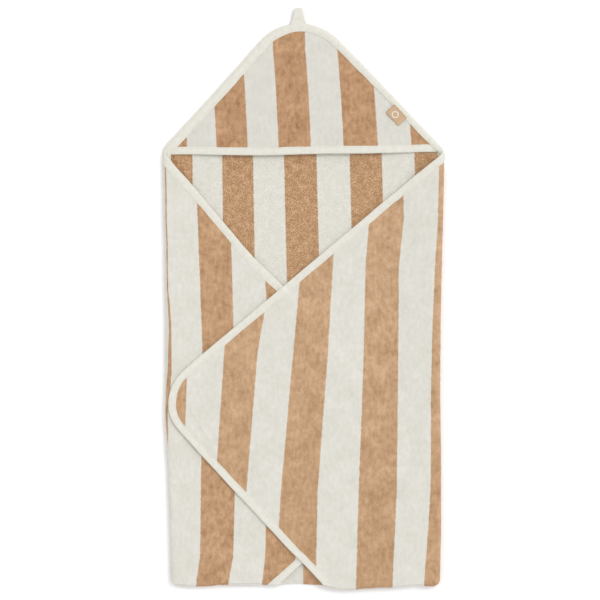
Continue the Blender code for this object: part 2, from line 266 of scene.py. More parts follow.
# How far the left and the right side run in, by height, and how far the bottom rises, by x
LEFT_LINE = ((-0.375, -0.32, -0.288, -0.22, -0.19, -0.158, -0.126, -0.094, -0.03, 0.035, 0.068,
              0.100, 0.133, 0.165, 0.20),
             (0.0085, 0.0078, 0.0070, 0.0045, 0.0023, 0.0004, 0.0008, 0.0017, 0.0020, 0.0006, 0.0006,
              -0.0006, -0.0007, -0.0015, 0.0))
RIGHT_LINE = ((-0.375, -0.345, -0.30, -0.20, -0.13, -0.03, 0.05, 0.10, 0.165, 0.20),
              (0.0034, 0.0028, 0.0017, 0.0018, 0.0030, 0.0023, 0.0006, -0.0008, -0.0022, -0.0010))
BOTTOM_LINE = ((-0.18, -0.144, -0.123, -0.109, -0.062, -0.030, -0.010, 0.012, 0.022, 0.032, 0.042,
                0.058, 0.075, 0.094, 0.120, 0.146, 0.18),
               (0.0030, 0.0015, 0.0019, 0.0036, 0.0038, 0.0027, 0.0045, 0.0031, 0.0026, 0.0012,
                -0.0021, -0.0030, -0.0013, 0.0003, 0.0008, 0.0029, 0.0018))


def settled(x, y):
    """How the folded towel lies: sides that are not quite straight, and rounded corners."""
    left_in = np.interp(y, *LEFT_LINE)
    right_in = np.interp(y, *RIGHT_LINE)
    lift = np.interp(x, *BOTTOM_LINE)
    from_bottom = np.clip(y - BOTTOM_Y, 0, CORNER)
    cut = CORNER - np.sqrt(CORNER ** 2 - (CORNER - from_bottom) ** 2)
    near_left = np.clip(1 - (x - cad_box[0].x) / CORNER_REACH, 0, 1)
    near_right = np.clip(1 - (cad_box[1].x - x) / CORNER_REACH, 0, 1)
    moved_x = x + left_in * smoothstep((LEFT_FROM - x) / LEFT_RUN)
    moved_x -= right_in * smoothstep((x - RIGHT_FROM) / RIGHT_RUN)
    moved_x += cut * (near_left - near_right)
    return moved_x, y + lift * smoothstep((BOTTOM_Y + BOTTOM_RUN - y) / BOTTOM_RUN)


# Creases pressed into the cloth: start, end, width, height
RIGHT_CREASES = (
    ((-0.154, -0.136), (-0.106, -0.198), 0.0024, -0.0010),
    ((-0.160, -0.148), (-0.096, -0.220), 0.0060, 0.0018),
    ((-0.015, -0.300), (0.016, -0.330), 0.0050, 0.0014),
    ((0.098, -0.225), (0.135, -0.280), 0.0030, -0.0009),
    ((0.020, -0.020), (0.048, -0.075), 0.0060, 0.0012),
    ((-0.075, -0.100), (-0.040, -0.150), 0.0050, 0.0010),
    ((0.120, 0.060), (0.140, -0.020), 0.0070, 0.0010),
)
LEFT_CREASES = (
    ((-0.160, 0.115), (-0.120, 0.020), 0.0050, 0.0012),
    ((-0.135, -0.340), (-0.100, -0.362), 0.0030, -0.0009),
    ((-0.110, -0.230), (-0.088, -0.280), 0.0050, 0.0011),
)
HOOD_CREASES = (
    ((-0.115, 0.222), (-0.070, 0.203), 0.0030, -0.0010),
    ((0.052, 0.262), (0.092, 0.232), 0.0035, -0.0008),
    ((-0.040, 0.235), (0.010, 0.218), 0.0045, 0.0008),
)


class Fold:
    """A half turn: the panel starts at `at`, runs `way` along the axis, and hangs on another."""

    def __init__(self, axis, at, way, panel_z, other_z):
        self.axis, self.at, self.way = axis, at, way
        self.middle = (panel_z + other_z) / 2
        self.rise = (panel_z - other_z) / 2
        self.radius = abs(self.rise)
        self.length = pi * self.radius
        self.panel_z = panel_z
        self.other_z = other_z


BLUNT = 2 * RIGHT_FILL     # a side may lean by this much and still end a sheet
INNER_LEAST = 0.0001      # radius that a fold keeps on its inner side
TUCKED_LIFT = 0.86        # thickness of a tucked lip, as a share of the cloth's


class Sheet:
    """A flat cut of cloth, and where its points lie once it is folded."""

    def __init__(self, corners, radii, free, heights, up, fold=None, bow=False, ease=None):
        self.corners, self.radii = corners, radii
        self.free = free          # sides that are edges of the cloth, bound with tape
        self.heights = heights    # of the middle of its thickness
        self.up = up              # 1 if its outside face is up, or -1
        self.fold, self.bow, self.ease = fold, bow, ease

    def cut(self, inset):
        insets = [inset if i in self.free else 0 for i in range(len(self.corners))]
        return joined(outline(self.corners, insets, self.radii))

    def area(self):
        points = self.cut(0)
        pairs = zip(points, points[1:] + points[:1])
        return abs(sum(a[0] * b[1] - a[1] * b[0] for a, b in pairs)) / 2

    def size(self):
        points = np.array(self.cut(0))
        return tuple(float(v) for v in np.ptp(points, axis=0))

    def limits(self):
        """Lines that end the sheet where it goes on in another: (axis, value, side)."""
        found = []
        for i, a in enumerate(self.corners):
            b = self.corners[(i + 1) % len(self.corners)]
            for axis in (0, 1):
                if i not in self.free and abs(a[axis] - b[axis]) < BLUNT:
                    middle = sum(c[axis] for c in self.corners) / len(self.corners)
                    value = min(a[axis], b[axis], key=lambda side: abs(side - middle))
                    found.append((axis, value, 1 if middle > value else -1))
        return found

    def trimmed(self, flat, tangents):
        """Flat points slid along their tangents until they are within the sheet's limits."""
        flat = flat.copy()
        for axis, value, side in self.limits():
            past = (value - flat[:, axis]) * side > 0
            pick = past & (np.abs(tangents[:, axis]) > 0.05)
            step = (value - flat[pick, axis]) / tangents[pick, axis]
            flat[pick] += tangents[pick] * step[:, None]
        return flat

    def place(self, u, v, lift):
        """Points of the folded sheet for flat points u, v; lift is towards the outside face."""
        u, v, lift = np.broadcast_arrays(u, v, lift)
        x = u.astype(float).copy()
        y = v.astype(float).copy()
        z = read(self.heights, x, y) + self.up * lift
        if self.fold:
            f = self.fold
            along = (x, y)[f.axis]
            run = (along - f.at) * f.way
            bend = (run < 0) & (run >= -f.length)
            angle = np.clip(-run / f.radius, 0, pi)
            lift = np.where(run < 0, np.maximum(lift, INNER_LEAST - f.radius), lift)
            out = (f.radius + lift) * np.sin(angle)
            tucked = np.clip(-run - f.length, 0, None)
            trim = np.where(run < -f.length, TUCKED_LIFT, 1.0)
            level = f.middle + np.sign(f.rise) * (f.radius + lift * trim) * np.cos(angle)
            edge = read(self.heights,
                        *(np.where(i == f.axis, f.at, (x, y)[i]) for i in (0, 1)))
            level += (edge - f.panel_z) * (1 + np.cos(angle)) / 2
            moved = np.where(bend, f.at - f.way * out, f.at + f.way * tucked)
            over = run < 0
            along[over] = moved[over]
            z = np.where(over, level, z)
        if self.ease:
            y = y + self.ease(u, v)
        x, y = settled(x, y)
        if self.bow:
            x += HOOD_BOW * np.sin(pi * np.clip((y - MOUTH_Y) / HOOD_RISE, 0, 1))
        lowest = np.where(np.abs(lift) > 1.3 * HALF, TAPE_LOWEST, CLOTH_LOWEST)
        return np.stack([x, y, np.maximum(z, lowest)], -1)


def laid(under, level, run=None):
    """Underside of a sheet that sinks from its level to what is under it, away from its folds."""
    rest = softened(widened(under, EDGE_RUN), EDGE_RUN / 2) + CLEARANCE
    sunk = level + DRAPE * (rest - level)
    low = np.where(rest < level, sunk, rest)
    if run is not None:
        near = 1 - smoothstep(run / DRAPE_RUN)
        low = np.maximum(low, low + (level - low) * near)
    return np.maximum(low, rest)


def covered(under, sheet, low):
    """The upper surface once a sheet lies on what is under it."""
    return np.where(inside_of(sheet.cut(0)), np.maximum(under, low + CLOTH), under)


def node_bottom(node):
    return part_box(node)[0].z


def creased(heights, creases):
    return heights + sum(crease_line(*crease) for crease in creases)


# Back panel and hood back: one sheet, its inside face up
soft_relief = ripples(0.016, 0.0011)
for from_fold in (GRID_Y - BOTTOM_Y, GRID_X - LEFT_CREASE, RIGHT_CREASE - GRID_X):
    soft_relief *= smoothstep(from_fold / 0.03)
back_under = soft_relief + TAPE_LOWEST
hood_triangle = [
    on_line(HOOD_LEFT, HOOD_APEX, y=MOUTH_Y),
    on_line(HOOD_RIGHT, HOOD_APEX, y=MOUTH_Y),
    HOOD_APEX,
]
hood_radii = [0, 0, HOOD_RADIUS]
hood_groups = outline(hood_triangle, [0, UNDER_TAPE, UNDER_TAPE], hood_radii)
right_leg, left_leg = hood_groups[2][0], hood_groups[2][-1]
right_join = on_line(hood_groups[1][0], right_leg, x=RIGHT_CREASE)
left_join = on_line(hood_groups[0][0], left_leg, x=LEFT_CREASE)
back_corners = [(LEFT_CREASE, BOTTOM_CREASE), (RIGHT_CREASE, BOTTOM_CREASE), right_join,
                *hood_groups[2], left_join]
back = Sheet(back_corners, [0] * len(back_corners), [], back_under + HALF, -1, bow=True)
top = np.where(inside_of(back.cut(0)), back_under + CLOTH, 0)

# Bottom corner, folded up
low_z = node_bottom("bottom_flap")
fold = Fold(1, BOTTOM_CREASE, 1, low_z + HALF, HALF)
end = BOTTOM_CREASE - fold.length - LIP
bottom_corners = [(LEFT_CREASE - ROLL_FILL, end), (RIGHT_CREASE + ROLL_FILL, end),
                  (RIGHT_CREASE, BOTTOM_RIGHT_Y),
                  BOTTOM_TIP, (LEFT_CREASE, BOTTOM_LEFT_Y)]
bottom_under = laid(top, low_z)
bottom = Sheet(bottom_corners, [0, 0, 0, FLAP_RADIUS, 0], [2, 3], bottom_under + HALF, 1, fold)
top = covered(top, bottom, bottom_under)


def bottom_end(node, flap_node, crease_x, way, fill, tip, foot_x, edge_y):
    """An end of the bottom corner, folded in under a flap.

    Also its underside, and the y of the fold that the flap starts at.
    """
    low_z, flap_z = node_bottom(node), node_bottom(flap_node)
    crease_y = BOTTOM_Y + (flap_z - low_z) / 2 + HALF
    fold = Fold(1, crease_y, 1, low_z + HALF, flap_z + HALF)
    end = crease_y - fold.length - LIP
    edge_top = (crease_x, edge_y)
    turn = (tip[0] - foot_x) / (tip[1] - crease_y) * fold.length
    edge_end = on_line(edge_top, (foot_x - turn, BOTTOM_CREASE), y=end)
    outer_end = (crease_x - way * fill, end)
    corners = [outer_end, edge_end, edge_top] if way > 0 else [edge_end, outer_end, edge_top]
    under = np.maximum(laid(top, low_z), low_z - END_SAG)
    sheet = Sheet(corners, [0, 0, 0], [1 if way > 0 else 2], under + HALF, -1, fold)
    return sheet, under, crease_y


def side_flap(flap_node, crease_x, way, crease_y, tip, foot_x, relief, creases, ease=None):
    """A side of the towel, folded over the middle; also its underside."""
    flap_z = node_bottom(flap_node)
    fold = Fold(0, crease_x, way, flap_z + HALF, HALF)
    end = crease_x - way * (fold.length + LIP)
    others = [(foot_x, crease_y), tip, on_line(tip, (crease_x, FLAP_TOP_Y), x=end)]
    corners = [(end, crease_y), *(others if way > 0 else others[::-1])]
    inwards, upwards = way * (GRID_X - crease_x), GRID_Y - crease_y
    under = laid(top, flap_z, np.minimum(inwards, upwards))
    under += ripples(0.014, relief) * smoothstep(inwards / SETTLE_RUN) \
        * smoothstep(upwards / SETTLE_RUN)
    under = creased(under, creases)
    sheet = Sheet(corners, [0, 0, FLAP_RADIUS, 0], [1, 2], under + HALF, 1, fold, ease=ease)
    return sheet, under


def left_ease(u, v):
    """The left flap's upper edge turns flatter where it goes under the right flap."""
    return 0.0085 * smoothstep((u + 0.070) / 0.045) * smoothstep((v + 0.15) / 0.08)


left_end, under, crease_y = bottom_end("bottom_corner_left", "left_flap", LEFT_CREASE, 1,
                                       LEFT_FILL, LEFT_TIP, LEFT_FOOT_X, BOTTOM_LEFT_Y)
top = covered(top, left_end, under)
left, under = side_flap("left_flap", LEFT_CREASE, 1, crease_y, LEFT_TIP, LEFT_FOOT_X, 0.0010,
                        LEFT_CREASES, left_ease)
top = covered(top, left, under)
right_end, under, crease_y = bottom_end("bottom_corner_right", "right_flap", RIGHT_CREASE, -1,
                                        RIGHT_FILL, RIGHT_TIP, RIGHT_FOOT_X, BOTTOM_RIGHT_Y)
top = covered(top, right_end, under)
right, under = side_flap("right_flap", RIGHT_CREASE, -1, crease_y, RIGHT_TIP, RIGHT_FOOT_X,
                         0.0012, RIGHT_CREASES)

# Hood front: a pocket, sewn along its two legs
hood_legs = outline(hood_triangle, [0, 0, 0], hood_radii)


def leg_distance(a, b):
    length = hypot(b[0] - a[0], b[1] - a[1])
    return ((b[0] - a[0]) * (GRID_Y - a[1]) - (b[1] - a[1]) * (GRID_X - a[0])) / length


front_level = node_bottom("hood_front")
from_right = leg_distance(hood_triangle[1], hood_triangle[2])
from_left = leg_distance(hood_triangle[2], hood_triangle[0])
tip_centre = inset_corners(hood_triangle, [0, HOOD_RADIUS, HOOD_RADIUS])[2]
from_centre = np.hypot(GRID_X - tip_centre[0], GRID_Y - tip_centre[1])
arc_ends = [(Vector(hood_legs[2][i]) - Vector(tip_centre)).normalized() for i in (0, -1)]
lean = arc_ends[0].dot(arc_ends[1])
past_right, past_left = HOOD_RADIUS - from_right, HOOD_RADIUS - from_left
round_tip = (past_right > lean * past_left) & (past_left > lean * past_right)
from_legs = np.where(round_tip, HOOD_RADIUS - from_centre, np.minimum(from_right, from_left))
front_under = np.maximum(front_level, back_under + CLOTH + CLEARANCE)
front_under += POCKET * smoothstep((from_legs - 0.020) / 0.060)
front_under -= SEAM_DIP * (1 - smoothstep((from_legs - 0.0095) / 0.008))
front_under += ripples(0.013, 0.0009) * smoothstep((from_legs - 0.012) / 0.03)
front_under = creased(front_under, HOOD_CREASES)
front = Sheet(hood_triangle, hood_radii, [0, 1, 2], front_under + HALF, 1, bow=True)


# Stripes: heights, and for each sand-coloured band its left and right edge at those heights

BACK_BANDS = ((0.182, -0.372), (
    ((-0.200, -0.196), (-0.1430, -0.138)),
    ((-0.1050, -0.098), (-0.0650, -0.056)),
    ((-0.0250, -0.012), (0.0170, 0.031)),
    ((0.0600, 0.074), (0.1015, 0.116)),
    ((0.1435, 0.158), (0.190, 0.200))))
HOOD_BANDS = ((0.320, 0.190), (
    ((-0.206, -0.196), (-0.160, -0.1500)),
    ((-0.122, -0.1120), (-0.0810, -0.0718)),
    ((-0.0410, -0.0320), (0.0008, 0.0098)),
    ((0.0420, 0.0520), (0.0850, 0.0965)),
    ((0.1270, 0.1400), (0.170, 0.184))))
LEFT_BANDS = ((0.120, -0.060, -0.240, -0.335, -0.3715), (
    ((-0.240,) * 5, (-0.200,) * 5),
    ((-0.1370, -0.1303, -0.1318, -0.1330, -0.1385), (-0.0945, -0.0895, -0.0880, -0.0905, -0.0965)),
    ((-0.0560, -0.0440, -0.0465, -0.0493, -0.0530), (-0.0120, -0.0100, -0.0100, -0.0100, -0.0120)),
    ((0.030, 0.031, 0.031, 0.032, 0.032), (0.072, 0.073, 0.073, 0.074, 0.074)),
    ((0.113, 0.114, 0.114, 0.115, 0.115), (0.155, 0.156, 0.156, 0.157, 0.157))))
RIGHT_BANDS = ((0.100, 0.040, -0.070, -0.250, -0.368), (
    ((-0.190, -0.190, -0.190, -0.194, -0.197), (-0.1460, -0.147, -0.1495, -0.1550, -0.1580)),
    ((-0.0900, -0.095, -0.1020, -0.1140, -0.1180), (-0.0285, -0.0395, -0.0590, -0.0735, -0.0830)),
    ((0.0030, -0.003, -0.0130, -0.0290, -0.0360), (0.0415, 0.038, 0.0318, 0.0183, 0.0160)),
    ((0.0850, 0.0803, 0.0780, 0.0713, 0.0680), (0.1295, 0.1232, 0.1225, 0.1205, 0.1150)),
    ((0.1727, 0.1707, 0.1682, 0.1654, 0.1578), (0.205,) * 5)))
BOTTOM_BANDS = ((-0.100, -0.372), (
    ((-0.175, -0.175), (-0.138, -0.138)),
    ((-0.101, -0.101), (-0.062, -0.062)),
    ((0.001, 0.000), (0.043, 0.042)),
    ((0.085, 0.084), (0.127, 0.126)),
    ((0.168, 0.167), (0.200, 0.200))))


BAND_WIDTH = 0.042        # past the first edge


def band_phase(layout, u, v):
    """Grows by 1 at each edge of a band; odd from the left edge of a band to its right edge."""
    heights, pairs = layout
    lines = [np.interp(v, heights[::-1], edge[::-1]) for pair in pairs for edge in pair]
    phase = np.zeros_like(u)
    for i, (a, b) in enumerate(zip(lines, lines[1:])):
        phase = np.where(u >= a, i + 1 + (u - a) / (b - a), phase)
    return np.where(u < lines[0], 1 + (u - lines[0]) / BAND_WIDTH, phase)


# The thin sand line along the left fold: heights, its left edge and its right edge
FOLD_LINE = ((-0.250, -0.200, -0.171, -0.145, -0.120, -0.094, -0.042, -0.016, 0.010, 0.120),
             (-0.1766, -0.1768, -0.1778, -0.1784, -0.1782, -0.1766, -0.1756, -0.1762, -0.1770,
              -0.1772),
             (-0.1778, -0.1768, -0.1748, -0.1748, -0.1722, -0.1712, -0.1718, -0.1730, -0.1748,
              -0.1750))

# The sharpest crease of a face: start, end
RIGHT_PRESSED = ((-0.151, -0.141), (-0.112, -0.192))
LEFT_PRESSED = ((-0.134, -0.366), (-0.106, -0.346))
HOOD_PRESSED = ((-0.104, 0.216), (-0.074, 0.204))


def pressed(line, u, v):
    """Distance from a crease, and how strong it is there."""
    (ax, ay), (bx, by) = line
    length = hypot(bx - ax, by - ay)
    t = ((u - ax) * (bx - ax) + (v - ay) * (by - ay)) / length ** 2
    bend = 0.0012 * np.sin(t * 7.0)
    away = ((u - ax) * (by - ay) - (v - ay) * (bx - ax)) / length + bend
    return away, smoothstep(t * 5) * smoothstep((1 - t) * 5)


# Meshes

def store(piece, name, values):
    """A number for each point of a piece, or a vector."""
    values = np.asarray(values, np.float32)
    kind, key = ("FLOAT", "value") if values.ndim == 1 else ("FLOAT_VECTOR", "vector")
    piece.data.attributes.new(name, kind, "POINT").data.foreach_set(key, values.ravel())


def store_weave(piece, u, v):
    """Where each point is on the flat cloth, which the textures follow."""
    store(piece, "weave", np.stack([u, v, np.zeros(len(u))], -1))


def new_piece(name, vertices, faces, materials, smooth_angle=60):
    mesh = bpy.data.meshes.new(name)
    mesh.from_pydata([tuple(v) for v in vertices], [], faces)
    for material in materials:
        mesh.materials.append(material)
    mesh.polygons.foreach_set("use_smooth", [True] * len(mesh.polygons))
    mesh.set_sharp_from_angle(angle=np.radians(smooth_angle))
    piece = bpy.data.objects.new(name, mesh)
    bpy.context.scene.collection.objects.link(piece)
    return piece


def welded(piece):
    """Merges points that lie on each other, and drops what that leaves without area."""
    shape = bmesh.new()
    shape.from_mesh(piece.data)
    bmesh.ops.remove_doubles(shape, verts=shape.verts[:], dist=2e-6)
    bmesh.ops.dissolve_degenerate(shape, edges=shape.edges[:], dist=2e-6)
    shape.to_mesh(piece.data)
    shape.free()


def turned_out(vertices, faces):
    """The faces of a closed mesh, turned so that they point outwards."""
    points = np.asarray(vertices)
    volume = 0.0
    for face in faces:
        a = points[face[0]]
        for i in range(1, len(face) - 1):
            volume += np.dot(a, np.cross(points[face[i]], points[face[i + 1]]))
    return faces if volume > 0 else [tuple(reversed(face)) for face in faces]


def tube_faces(rings, size, base=0, closed=False):
    """Faces between rings of points, and over both ends of a tube that is not closed."""
    faces = []
    for i in range(rings if closed else rings - 1):
        a, b = base + i * size, base + (i + 1) % rings * size
        for j in range(size):
            k = (j + 1) % size
            faces.append((a + j, a + k, b + k, b + j))
    if not closed:
        last = base + (rings - 1) * size
        faces.append(tuple(base + j for j in range(size - 1, -1, -1)))
        faces.append(tuple(last + j for j in range(size)))
    return faces


def plate_faces(rows, columns):
    """Faces of a plate whose points are two grids, one for each side."""
    under = rows * columns
    faces = []
    for i in range(rows - 1):
        for j in range(columns - 1):
            a, d = i * columns + j, (i + 1) * columns + j
            faces.append((a, a + 1, d + 1, d))
            faces.append((a + under, d + under, d + 1 + under, a + 1 + under))
    rim = list(range(columns)) + [i * columns + columns - 1 for i in range(1, rows)]
    rim += list(range(under - 2, under - columns - 1, -1))
    rim += [i * columns for i in range(rows - 2, 0, -1)]
    for a, b in zip(rim, rim[1:] + rim[:1]):
        faces.append((b, a, a + under, b + under))
    return faces


def flat_mesh(points, spacing):
    """A convex outline filled with a grid: flat points and faces."""
    ring = np.array(points)
    low, high = ring.min(0), ring.max(0)
    counts = [max(2, int(round(extent / spacing))) for extent in high - low]
    shape = bmesh.new()
    bmesh.ops.create_grid(shape, x_segments=counts[0], y_segments=counts[1], size=0.5)
    for vertex in shape.verts:
        vertex.co.x = low[0] + (vertex.co.x + 0.5) * (high[0] - low[0])
        vertex.co.y = low[1] + (vertex.co.y + 0.5) * (high[1] - low[1])
    for (ax, ay), (bx, by) in zip(points, points[1:] + points[:1]):
        length = hypot(bx - ax, by - ay)
        if length > 1e-6:
            normal = ((by - ay) / length, -(bx - ax) / length, 0)
            every = shape.verts[:] + shape.edges[:] + shape.faces[:]
            bmesh.ops.bisect_plane(shape, geom=every, plane_co=(ax, ay, 0), plane_no=normal,
                                   clear_outer=True, dist=1e-6)
    bmesh.ops.remove_doubles(shape, verts=shape.verts[:], dist=0.00012)
    loose = [v for v in shape.verts if not v.link_faces]
    bmesh.ops.delete(shape, geom=loose, context="VERTS")
    shape.verts.index_update()
    flat = np.array([v.co[:2] for v in shape.verts])
    faces = []
    for face in shape.faces:
        loop = [v.index for v in face.verts]
        faces.append(loop if face.normal.z > 0 else loop[::-1])
    shape.free()
    return flat, faces


def cloth(name, sheet, layout, outside, spacing, pile=0.00012, crease=None, line=None):
    """A sheet of cloth with its two faces and its cut edge."""
    flat, faces = flat_mesh(sheet.cut(UNDER_TAPE), spacing)
    u, v = flat.T
    count = len(flat)
    rough = rng.standard_normal((2, count)) * pile
    outer = sheet.place(u, v, HALF + rough[0])
    inner = sheet.place(u, v, -HALF + rough[1])
    if sheet.up < 0:
        faces = [face[::-1] for face in faces]
    used = {(a, b) for face in faces for a, b in zip(face, face[1:] + face[:1])}
    rim = [(b, a, a + count, b + count) for a, b in used if (b, a) not in used]
    under = [tuple(i + count for i in reversed(face)) for face in faces]
    piece = new_piece(name, np.vstack([outer, inner]),
                      [tuple(face) for face in faces] + under + rim, [outside, TERRY])
    piece.data.polygons.foreach_set(
        "material_index", [0] * len(faces) + [1] * len(under) + [0] * len(rim))
    both_u, both_v = np.tile(u, 2), np.tile(v, 2)
    store_weave(piece, both_u, both_v)
    store(piece, "band", band_phase(layout, both_u, both_v))
    if crease:
        away, strength = pressed(crease, both_u, both_v)
        store(piece, "crease_away", away)
        store(piece, "crease_strength", strength)
    if line:
        line_left, line_right = (np.interp(both_v, line[0], edge) for edge in line[1:])
        store(piece, "line_away", both_u - (line_left + line_right) / 2)
        store(piece, "line_half", (line_right - line_left) / 2)
    return piece


STITCH_AT = 0.815         # of the tape's width, from its outer edge
STITCH_STEP = 0.0030
STITCH_SUNK = 0.00030     # into the tape's face
TAPE_STEP = 0.0022        # between the rings of its mesh
THINNING = 0.030          # length over which its thin ends lose thickness
SINKING = 0.014           # length over which its ends are pressed down
# A stitch, along it: (place, girth, height)
STITCH = ((-0.00105, 0.000091, -0.00022), (-0.000756, 0.000221, -0.00005), (0.0, 0.00026, 0.0),
          (0.000756, 0.000221, -0.00005), (0.00105, 0.000091, -0.00022))
STITCH_SIDES = 6


def resampled(points, step):
    """The path through points, with a point every step."""
    path = np.array(points, float)
    lengths = np.hypot(*np.diff(path, axis=0).T)
    keep = np.concatenate([[True], lengths > 1e-7])
    path = path[keep]
    at = np.concatenate([[0], np.cumsum(np.hypot(*np.diff(path, axis=0).T))])
    count = max(2, int(round(at[-1] / step)) + 1)
    where = np.linspace(0, at[-1], count)
    return np.stack([np.interp(where, at, path[:, k]) for k in (0, 1)], -1), where


def inward_normals(path):
    along = np.gradient(path, axis=0)
    along /= np.linalg.norm(along, axis=1)[:, None]
    return np.stack([-along[:, 1], along[:, 0]], -1)


def wander(where, scale, height):
    """Smooth random values along a path."""
    knots = np.arange(0, where[-1] + 3 * scale, scale)
    values = rng.uniform(-1, 1, len(knots))
    t = where / scale
    i = t.astype(int)
    f = smoothstep(t - i)
    return height * (values[i] * (1 - f) + values[i + 1] * f)


def tape_section(half):
    """The tape's section, around it: (inwards, share of the width inwards, height)."""
    upper = [(half * (1 - cos(a)), 0, half * sin(a)) for a in np.linspace(0, pi / 2, 6)]
    for share, height in ((0.36, 1.10 * half), (0.55, 1.08 * half), (0.70, half),
                          (0.78, half - 0.00015), (STITCH_AT, half - 0.00042),
                          (0.85, half - 0.00015), (0.91, half - 0.00002),
                          (0.97, half - 0.00014), (1.0, half - 0.00045)):
        upper.append((0, share, height))
    rim = [(0, 1.004, half - 0.0009), (0, 1.004, 0.0009 - half)]
    return upper + rim + [(inwards, share, -height) for inwards, share, height in upper[:0:-1]]


def tape(name, sheet, edge, half=HALF + TAPE, widths=None, centre=0.0, thin_ends=0.0,
         sunk_ends=0.0):
    """The tape that wraps an edge of a sheet. Its stitches are a mesh of their own.

    widths: its width by x; thin_ends: share of its thickness that it loses at its ends;
    sunk_ends: how far its ends are pressed down.
    """
    path, where = resampled(edge, TAPE_STEP)
    width = np.interp(path[:, 0], *widths) if widths else TAPE_WIDTH
    from_end = np.minimum(where, where[-1] - where)
    normals = inward_normals(path)
    tangents = np.stack([normals[:, 1], -normals[:, 0]], -1)
    wide = width + wander(where, 0.011, 0.00030)
    puff = 1 + wander(where, 0.007, 0.05)
    puff *= 1 - thin_ends * (1 - smoothstep(from_end / THINNING))
    shift = wander(where, 0.017, 0.00022)
    level = centre + wander(where, 0.013, 0.00012)
    level -= sunk_ends * (1 - smoothstep(from_end / SINKING))
    section = tape_section(half)
    size = len(section)
    stack = []
    for inwards, share, height in section:
        reach = inwards + share * wide + shift
        flat = sheet.trimmed(path + normals * reach[:, None], tangents)
        stack.append(sheet.place(*flat.T, height * puff + level))
    vertices = np.stack(stack, 1).reshape(-1, 3)
    faces = turned_out(vertices, tube_faces(len(path), size))
    piece = new_piece(name, vertices, faces, [TAPE_CLOTH], 50)
    across = [share * TAPE_WIDTH for _, share, _ in section]
    store_weave(piece, np.repeat(where, size), np.tile(across, len(path)))
    welded(piece)
    line = path + normals * (STITCH_AT * wide + shift)[:, None]
    within = np.ones(len(line), bool)
    for axis, value, side in sheet.limits():
        within &= (line[:, axis] - value) * side > 0.0005
    line, level = line[within], level[within]
    above = half * puff[within] - STITCH_SUNK
    seam = stitches(name + "_stitches", sheet, line, ((level + above, 1), (level - above, -1)))
    return piece, seam


def stitches(name, sheet, line, sides):
    """Short thread pieces along a line of flat points, at a lift for each side."""
    vertices, faces = [], []
    at = np.concatenate([[0], np.cumsum(np.hypot(*np.diff(line, axis=0).T))])
    stations, girth, sink = np.transpose(STITCH)
    ring = np.linspace(0, 2 * pi, STITCH_SIDES, endpoint=False)
    for lifts, way in sides:
        for s in np.arange(STITCH_STEP, at[-1] - STITCH_STEP, STITCH_STEP):
            spots = s + stations
            u, v, lift = (np.interp(spots, at, values) for values in (*line.T, lifts))
            side = np.array([v[0] - v[-1], u[-1] - u[0]])
            side /= np.linalg.norm(side)
            faces += tube_faces(len(STITCH), STITCH_SIDES, len(vertices))
            for k in range(len(STITCH)):
                offset = girth[k] * np.cos(ring)
                rise = lift[k] + way * (sink[k] + girth[k] * np.sin(ring))
                vertices.extend(sheet.place(u[k] + side[0] * offset, v[k] + side[1] * offset,
                                            rise))
    if sheet.up < 0:
        faces = [tuple(reversed(face)) for face in faces]
    piece = new_piece(name, vertices, faces, [THREAD])
    return piece


# Materials

def linear(value):
    value /= 255
    return value / 12.92 if value <= 0.04045 else ((value + 0.055) / 1.055) ** 2.4


def colour(red, green, blue):
    return (linear(red), linear(green), linear(blue), 1)


# Each entry: (deep, light)
HOOD_SAND = (colour(148, 107, 71), colour(203, 163, 126))
LEFT_SAND = (colour(150, 110, 74), colour(206, 168, 132))
RIGHT_SAND = (colour(160, 123, 87), colour(211, 176, 142))
# the terry's deep sand tone is partly painted shade, laid in the gaps between its loops
TERRY_SAND = (colour(154, 114, 76), colour(240, 202, 163))
CREAM = (colour(203, 201, 189), colour(221, 219, 211))
HOOD_CREAM = (colour(201, 199, 189), colour(216, 214, 205))
# the terry's deep cream tone is partly painted shade, laid in the gaps between its loops
TERRY_CREAM = (colour(206, 203, 192), colour(236, 234, 227))
TAPE_TONES = (colour(209, 206, 194), colour(226, 224, 215))
THREAD_TONES = (colour(206, 203, 190), colour(232, 230, 221))
LABEL_TONES = (colour(176, 141, 108), colour(214, 184, 152))
LABEL_DARK = (0.62, 0.56, 0.50, 1)
LINT = colour(226, 204, 178)
TERRY_LINT = colour(238, 206, 172)
# What the right flap's sand colour is multiplied by towards the bottom of the towel: darker there.
LOWER_TINT = (0.935, 0.908, 0.868, 1)
CREASE_SHADE = (0.62, 0.58, 0.52, 1)
CREASE_LIGHT = (0.10, 0.10, 0.09, 1)


